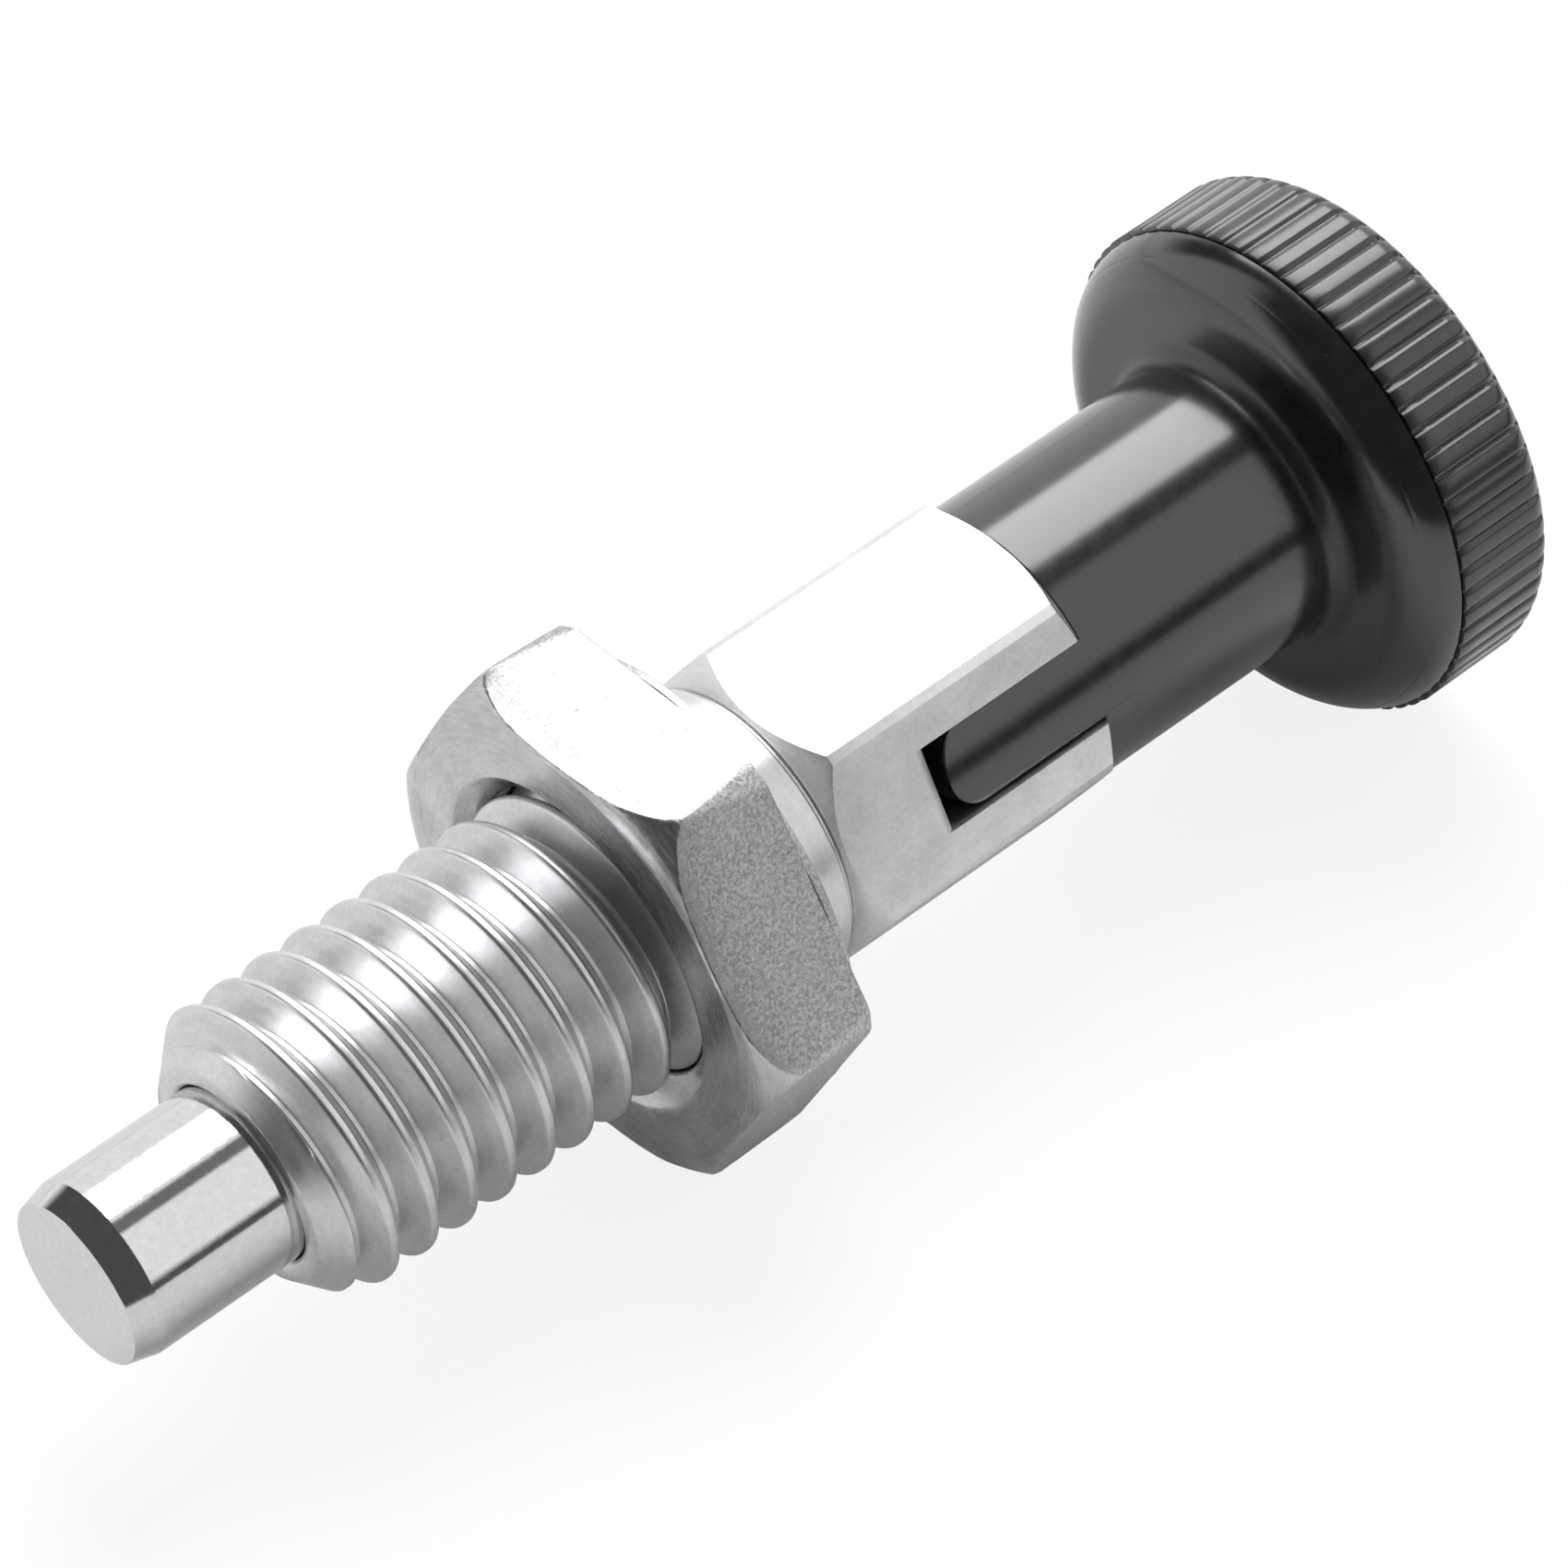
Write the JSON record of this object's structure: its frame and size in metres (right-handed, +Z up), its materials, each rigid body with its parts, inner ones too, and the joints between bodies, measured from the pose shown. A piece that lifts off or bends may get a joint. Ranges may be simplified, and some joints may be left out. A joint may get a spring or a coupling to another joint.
{
  "type": "indexing plunger",
  "caption": "Indexing plunger: a sprung pin in a threaded stud with a lock nut, and a fluted pull knob keyed into a slotted hexagon.",
  "frame": {"origin": "on the plunger's axis, at the front face of the threaded stud that the pin comes out of", "axes": "+X along the axis to the knob, +Z up with the part lying on a flat of its lock nut; a corner of the nut points to -Y"},
  "size_m": [0.0525, 0.0178, 0.0176],
  "materials": {
    "stud_steel": "turned and milled",
    "nut_steel": "finely brushed",
    "pin_steel": "ground and polished",
    "spring_steel": "drawn wire",
    "bush_steel": "turned",
    "knob_plastic": "gloss moulded"
  },
  "bodies": {
    "body": {"threaded_body": "stud_steel", "spring_retainer": "bush_steel", "spring": "spring_steel"},
    "plunger": {"index_pin": "pin_steel", "knob": "knob_plastic"},
    "nut": {"lock_nut": "nut_steel"}
  },
  "joints": [
    {"name": "pull", "type": "slide", "parent": "body", "child": "plunger", "axis": [1, 0, 0], "range_m": [0, 0.0062], "stiffness_N_per_m": 1600, "springref_m": -0.005, "deforming": ["spring"]},
    {"name": "nut_travel", "type": "slide", "parent": "body", "child": "nut", "axis": [1, 0, 0], "range_m": [-0.0115, 0]}
  ]
}
